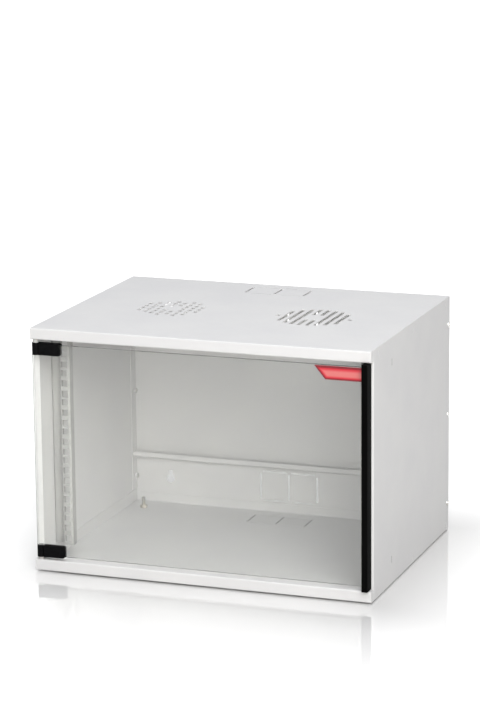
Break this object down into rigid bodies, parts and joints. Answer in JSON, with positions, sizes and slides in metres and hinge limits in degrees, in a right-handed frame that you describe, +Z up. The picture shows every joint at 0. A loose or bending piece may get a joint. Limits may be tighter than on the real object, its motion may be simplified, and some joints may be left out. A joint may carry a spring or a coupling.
{
  "type": "wall mount network cabinet",
  "caption": "Shallow sheet-steel wall cabinet for 19-inch network equipment, with a hinged glass door, rack rails, fan vents and cable break-outs.",
  "frame": {"origin": "middle of the underside, half way between the front of the lips and the wall face", "axes": "+Z up, -Y to the front where the glass door is, +Y to the wall, +X to the right seen from the front"},
  "size_m": [0.5244, 0.409, 0.367],
  "materials": {
    "powder_coated_steel": "light grey fine-texture powder coat",
    "powder_coated_rail": "light grey powder coat",
    "zinc_plated_steel": "bright zinc plate",
    "brass": "plain turned",
    "natural_nylon": "natural moulded",
    "tempered_glass": "clear float, ground edges",
    "black_pvc": "extruded, satin",
    "black_nylon": "moulded, satin",
    "black_rubber": "moulded",
    "ferrite": "sintered",
    "red_label_film": "printed vinyl, no lettering"
  },
  "bodies": {
    "cabinet": {"bottom_panel": "powder_coated_steel", "top_panel": "powder_coated_steel", "left_side_panel": "powder_coated_steel", "right_side_panel": "powder_coated_steel", "lower_wall_rail": "powder_coated_steel", "upper_wall_rail": "powder_coated_steel", "rear_panel": "powder_coated_steel", "left_rack_rail": "powder_coated_rail", "right_rack_rail": "powder_coated_rail", "lower_rail_screws": "zinc_plated_steel", "rear_panel_screws": "zinc_plated_steel", "upper_rail_screws": "zinc_plated_steel", "earth_stud": "zinc_plated_steel", "earth_nut": "brass", "upper_pivot_bush": "natural_nylon", "lower_pivot_bush": "natural_nylon"},
    "door": {"door_glass": "tempered_glass", "door_handle": "black_pvc", "handle_magnets": "ferrite", "handle_end_caps": "black_pvc", "door_label": "red_label_film", "upper_hinge_body": "black_nylon", "upper_hinge_cover": "black_nylon", "upper_hinge_pads": "black_rubber", "upper_hinge_screw": "zinc_plated_steel", "upper_hinge_pin": "zinc_plated_steel", "lower_hinge_body": "black_nylon", "lower_hinge_cover": "black_nylon", "lower_hinge_pads": "black_rubber", "lower_hinge_screw": "zinc_plated_steel", "lower_hinge_pin": "zinc_plated_steel"}
  },
  "joints": [
    {"name": "door_hinge", "type": "hinge", "parent": "cabinet", "child": "door", "pos_m": [-0.253, -0.195, 0.1835], "axis": [0, 0, -1], "range_deg": [0, 180]}
  ]
}
